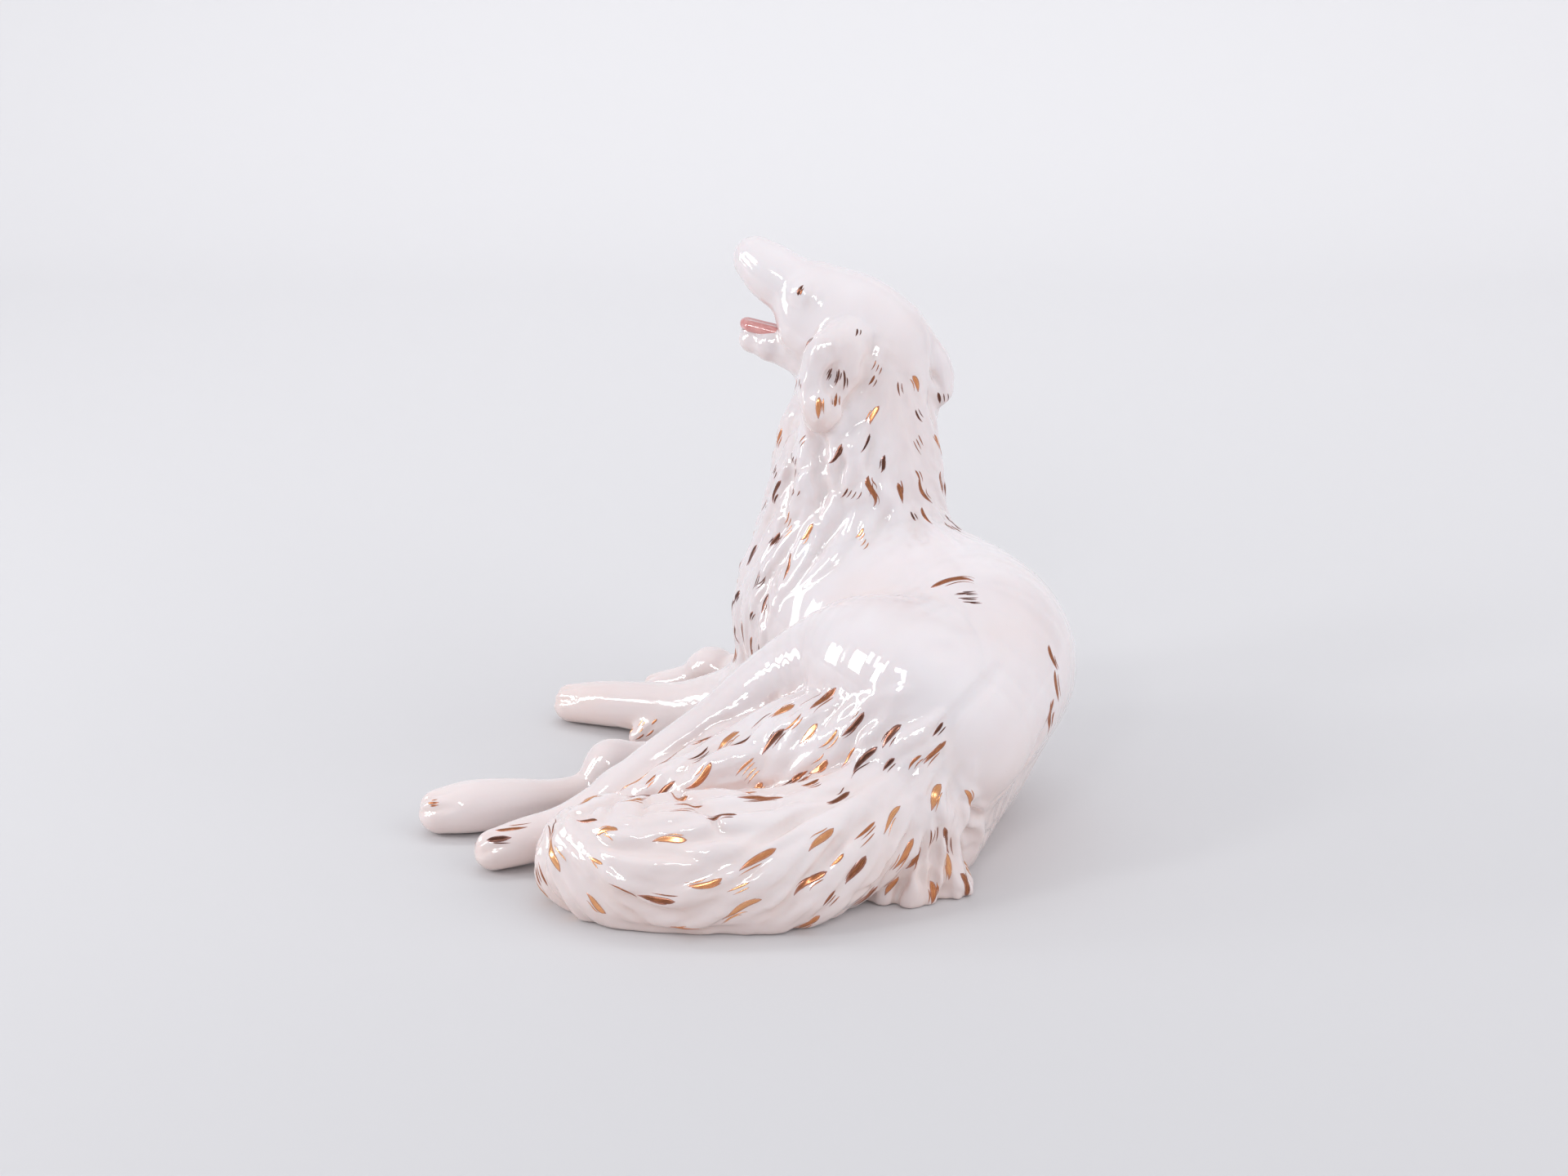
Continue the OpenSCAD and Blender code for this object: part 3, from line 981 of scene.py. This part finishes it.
class Gilding:
    """All the strokes painted on one section, as one thin mesh."""

    # Places across a stroke, and how far it stands on the glaze at its rim, more in its middle, and in it
    ROW = np.array([-1, -0.55, 0, 0.55, 1])
    RIM, CROWN, ROOT = 0.05, 0.14, 0.15

    def __init__(self, name):
        self.name = name
        self.verts, self.faces, self.tone, self.edge, self.brush = [], [], [], [], []

    def ribbon(self, spine, width, tone, blunt):
        """A brush stroke along a path of points on the skin, pointed where it lifts off."""
        spine, normal = on_skin(spine)
        way = unit(np.gradient(spine, axis=0))
        side = unit(np.cross(normal, way))
        rows = len(spine)
        length = np.linalg.norm(np.diff(spine, axis=0), axis=1).sum()
        u = np.linspace(0, 1, rows)
        taper = np.sin(np.pi * u**0.7) ** 0.8
        full = np.minimum(1, np.minimum(5 * u + 0.25, 3 * (1 - u) + 0.12))
        shape = np.maximum((1 - blunt) * taper + blunt * full, 0.05)
        base = len(self.verts)
        offset = paint.uniform(0, 50, 2)
        across = len(self.ROW)
        half = (0.5 * width * shape)[:, None, None]
        place, up = on_skin((spine[:, None] + half * self.ROW[None, :, None] * side[:, None]).reshape(-1, 3))
        lift = (self.RIM + self.CROWN * shape[:, None] * (1 - self.ROW**2)).ravel()
        self.verts.extend(place + up * lift[:, None])
        self.verts.extend(place - up * self.ROOT)
        rim = np.abs(self.ROW) ** 3 * 0.6
        ends = np.clip(1 - 8 * u, 0, 1) * 0.5 + np.clip(1 - 4 * (1 - u), 0, 1) * 0.8
        edge = np.clip(rim[None] + ends[:, None], 0, 1).ravel()
        along = np.repeat(offset[0] + u * length * 0.25, across)
        brush = np.stack([along, offset[1] + 0.5 * np.tile(self.ROW, rows)], axis=1)
        for _ in (0, 1):
            self.tone.extend([tone] * (rows * across))
            self.edge.extend(edge)
            self.brush.extend(brush)

        top = base + np.arange(rows * across).reshape(rows, across)
        ring = np.hstack([top, top[:, ::-1] + rows * across])
        here, ahead = ring[:-1], ring[1:]
        round_it = np.stack([here, ahead, np.roll(ahead, -1, 1), np.roll(here, -1, 1)], axis=-1)
        self.faces.extend(round_it.reshape(-1, 4).tolist())
        for cap in (ring[0].tolist(), ring[-1, ::-1].tolist()):
            for j in range(across - 1):
                self.faces.append((cap[j], cap[j + 1], cap[-2 - j], cap[-1 - j]))

    def finish(self):
        if not self.verts:
            return
        verts = np.array(self.verts)
        verts[:, 2] = np.maximum(verts[:, 2], self.RIM)
        thing = make_mesh("gilding_" + self.name, verts, self.faces, [LUSTRE])
        carry(thing, "tone", self.tone)
        carry(thing, "edge", self.edge)
        layer = thing.data.uv_layers.new(name="brush")
        corner = np.zeros(len(thing.data.loops), int)
        thing.data.loops.foreach_get("vertex_index", corner)
        layer.data.foreach_set("uv", np.array(self.brush, np.float32)[corner].ravel())
        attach(thing, "root")


gildings = {name: Gilding(name) for name in NODE_NAMES if name != "tongue"}

# Dark umber, copper and pale gold
UMBER, COPPER, GOLD = 0.08, 0.42, 0.75
TONES = [0.02, 0.1, 0.1, 0.3, 0.42, 0.6, 0.75]
# Node -> spacing, shortest and longest stroke, width, for the loaded brush and for the nearly dry one
STROKES = {
    "neck_shell": ((19.0, 7, 12, 2.0), (12.0, 4, 9, 1.1)),
    "trunk_shell": ((18.0, 8, 14, 2.1), (12.0, 5, 11, 1.2)),
    "left_hind_leg": ((13.5, 9, 16, 2.5), (9.5, 5, 11, 1.3)),
    "tail_plume": ((17.0, 10, 18, 2.7), (13.0, 6, 13, 1.4)),
    "rump_tuft": ((11.5, 9, 15, 2.4), (13.0, 6, 11, 1.2)),
    "left_ear": (None, (12, 3, 6, 0.9)),
    "left_foreleg": (None, (4.5, 3, 6, 0.9)),
}
# How many places of a section a stroke may start from
PAINT_SPOTS = 2500
LOADED, DRY = 0, 1
DOWN = np.array([0, 0, -1.0])
ACROSS = np.array([1.0, 0, 0])


def free_stroke(name, p, way, length, width, bend, tone, twist=0.0, blunt=0.0):
    """A stroke centred on p: bend curls it one way, twist makes it an S."""
    steps = max(8, int(length / 1.1))
    normal = on_skin(np.array(p, float)[None])[1][0]
    way = way / np.linalg.norm(way)
    lead = -0.5 * bend - 0.2 * twist
    p = np.array(p, float) - 0.5 * length * way
    way = way * math.cos(lead) + np.cross(normal, way) * math.sin(lead)
    path = [p]
    for i in range(steps):
        place, normal = on_skin(p[None])
        n = normal[0]
        way = way - (way @ n) * n
        way = way / (np.linalg.norm(way) + 1e-9)
        turn = (bend + twist * math.cos(math.pi * i / steps)) / steps
        way = way * math.cos(turn) + np.cross(n, way) * math.sin(turn)
        p = place[0] + length / steps * way
        path.append(p)
    gildings[name].ribbon(np.array(path), width, tone, blunt)


def loaded_stroke(name, p, way, length, width, bend, tone, twist=0.0):
    """A full stroke with the thin lines that stray bristles leave beside it."""
    free_stroke(name, p, way, length, width, bend, tone, twist, 0.3)
    side = np.cross(on_skin(np.array(p)[None])[1][0], way)
    side = side / (np.linalg.norm(side) + 1e-9)
    forward = way / np.linalg.norm(way)
    for _ in range(paint.integers(1, 4)):
        off = paint.choice([-1, 1]) * (0.5 * width + paint.uniform(0.1, 0.9))
        start = np.array(p) + side * off + forward * length * paint.uniform(-0.25, 0.3)
        free_stroke(name, start, way, length * paint.uniform(0.4, 0.75), 0.5, bend, tone, twist)


def signature_strokes():
    """The marks that the painter sets at the same spots: eyes, nape, back, flank, ear and toes."""
    placed = []

    def at(name, chain, spot, way, length, width, bend, tone, twist=0.0):
        p = on_skin(beside(chain, *spot)[None])[0][0]
        loaded_stroke(name, p, np.array(way, float), length, width, bend, tone, twist)
        placed.append(p)

    for eye, outward in zip(EYES, (-1, 1)):
        brow = np.array(eye[0])
        p = on_skin((brow[:3] + brow[3] * np.array([-0.1, outward, 0.35]))[None])[0][0]
        way = np.array([0.35, 0, 1.0])
        free_stroke("head_shell", p, way, 5.0, 1.7, 0.4 * outward, UMBER)
        free_stroke("head_shell", p + [0.9, 0, -0.6], way, 3.6, 0.6, 0.4 * outward, COPPER)
    for i in range(6):
        turn, swing = 5 + 22 * i, i % 3
        way = ([0, 0, -1], [0.1, 0, -1], [0.6, 0, -1])[swing]
        bend, twist = (0.0, -0.5, 1.3)[swing], (3.8, 0.8, 1.4)[swing]
        length, width = (14, 9, 15)[swing], (2.3, 2.4, 2.0)[swing]
        at("neck_shell", "neck", (0.53 - 0.02 * i, turn, 0), way, length, width, bend, COPPER, twist)
    at("trunk_shell", "trunk", (0.68, -12, 60), ACROSS, 18, 2.7, -1.0, COPPER, 0.8)
    for i in range(3):
        at("trunk_shell", "trunk", (0.72, -4 + 2 * i, 56 - 3 * i), ACROSS, 9 - i, 0.6, 0.2, UMBER)
    for i in range(3):
        flank = (0.84 + 0.06 * i, 62 + 12 * i, 24 - 12 * i)
        at("trunk_shell", "trunk", flank, DOWN, 11 + 3 * i, 2.3, 0.9, COPPER, 0.8)
    at("left_ear", "left_ear", (0.78, -25, 0), DOWN, 9, 2.3, 0.1, GOLD)
    at("left_ear", "left_ear", (0.74, 20, 0), [0.25, 0, 1], 6, 1.3, 0.2, COPPER)
    for i in range(3):
        fold, lean = (0.48 + 0.03 * i, -34 + 22 * i, 0), -0.45 + 0.25 * i
        at("left_ear", "left_ear", fold, [lean, 0, -1], 6 + 1.5 * i, 0.9, -0.5, UMBER)
    at("left_hind_leg", "left_paw", (0.92, -10, 48), ACROSS, 10, 3.0, 0.1, UMBER)
    at("left_hind_leg", "left_paw", (0.80, -10, 68), ACROSS, 13, 1.6, 0.3, COPPER)
    at("right_hind_leg", "right_paw", (0.98, -30, 40), ACROSS, 5, 1.0, 0.2, COPPER)
    return placed


def painted_coat(brush, covered):
    """Seeded strokes that follow the hair and keep clear of the strokes already there."""
    fur = fur_weight(points, point_node)
    for name, brushes in STROKES.items():
        if not brushes[brush]:
            continue
        spacing, short, long, width = brushes[brush]
        node = NODE_NAMES.index(name)
        here = np.flatnonzero((point_node == node) & (fur > 0.5) & (points[:, 2] > 3))
        here = here[paint.permutation(len(here))[:PAINT_SPOTS]]
        clear = np.array(covered)
        for j in here[scatter(points[here], spacing, paint)]:
            p = points[j]
            if np.linalg.norm(clear - p, axis=1).min() < 0.6 * spacing:
                continue
            way = hair_flow(p[None], np.array([node]))[0]
            tone, length, bend = paint.choice(TONES), paint.uniform(short, long), paint.uniform(-1.0, 1.0)
            tone = tone + 0.30 * ramp(-p[2], -70, -25)
            if brush == LOADED:
                twist = paint.uniform(-1.5, 1.5)
                loaded_stroke(name, p, way, length, width * paint.uniform(0.8, 1.25), bend, tone, twist)
                covered.extend([p - 0.3 * length * way, p, p + 0.3 * length * way])
                continue
            side = np.cross(normals[j], way)
            for c in range(paint.choice([1, 2, 2, 3, 4])):
                w = width * paint.uniform(0.5, 1.5) if c == 0 else 0.5
                start = p + side * 1.9 * c + way * paint.uniform(-1, 1.5) * c
                free_stroke(name, start, way, length * (1 if c == 0 else 0.75), w, bend, tone)


strokes_set = signature_strokes()
painted_coat(LOADED, strokes_set)
painted_coat(DRY, strokes_set)
for gilding in gildings.values():
    gilding.finish()


# ---------------- stage
def stage_floor():
    """A pale paper sweep: flat under the figure and rising behind it. Sizes in metres."""
    half_width, back, radius, top, parts = 3.0, 0.9, 0.5, 2.0, 16
    profile = [(-half_width, 0.0), (back, 0.0)]
    for i in range(1, parts + 1):
        a = math.pi / 2 * i / parts
        profile.append((back + radius * math.sin(a), radius * (1 - math.cos(a))))
    profile.append((back + radius, top))
    verts = np.array([(x, y, z) for x in (-half_width, half_width) for y, z in profile])
    n = len(profile)
    faces = [(i, i + n, i + n + 1, i + 1) for i in range(n - 1)]
    paper = Shader("floor_paper")
    paper.surface({"Base Color": (0.65, 0.645, 0.66, 1), "Roughness": 0.75})
    make_mesh("floor", verts / MM + ORIGIN, faces, [paper.material])


def area_light(name, place, aim, size, power, mirrored=True, lighting=True, spread=180):
    data = bpy.data.lights.new(name, "AREA")
    data.shape = "RECTANGLE"
    data.size, data.size_y = size
    data.energy = power
    data.spread = math.radians(spread)
    light = bpy.data.objects.new(name, data)
    light.location = place
    light.rotation_euler = (Vector(aim) - Vector(place)).to_track_quat("-Z", "Y").to_euler()
    light.visible_camera = False
    light.visible_glossy = mirrored
    light.visible_diffuse = lighting
    bpy.context.scene.collection.objects.link(light)


stage_floor()
world = bpy.data.worlds.new("studio")
bpy.context.scene.world = world
world.use_nodes = True
sky = world.node_tree.nodes["Background"].inputs
sky["Color"].default_value = (0.95, 0.96, 1.0, 1)
sky["Strength"].default_value = 0.68
BODY = (0, 0, 0.1)
area_light("key", (-0.95, -0.45, 0.85), BODY, (0.18, 0.34), 2.0)
area_light("front", (-0.32, -1.2, 0.85), BODY, (0.16, 0.26), 1.6)
area_light("window", (-1.15, 0.02, 0.36), (0, 0, 0.12), (0.24, 0.5), 3.3)
area_light("glint_left", (-1.2, -0.3, 0.6), BODY, (0.14, 0.6), 7, lighting=False)
area_light("glint_front", (-0.55, -1.15, 1.0), BODY, (0.2, 0.14), 3, lighting=False)
area_light("fill", (1.3, -0.5, 0.9), BODY, (1.6, 1.2), 9.5, mirrored=False)
area_light("backdrop_wash", (0, 0.5, 1.9), (0, 1.3, 0.1), (2.6, 0.5), 9.5, mirrored=False, spread=110)
bpy.context.scene.view_settings.view_transform = "Standard"

camera_data = bpy.data.cameras.new("camera")
camera_data.lens = 63.94
camera_data.sensor_width = 36
camera = bpy.data.objects.new("camera", camera_data)
elevation, distance = math.radians(20), 1.1
target = (np.array([0, 110, 104]) - ORIGIN) * MM
camera.location = Vector(target) - distance * Vector((0, math.cos(elevation), -math.sin(elevation)))
camera.rotation_euler = (math.radians(90) - elevation, 0, 0)
bpy.context.scene.collection.objects.link(camera)
bpy.context.scene.camera = camera
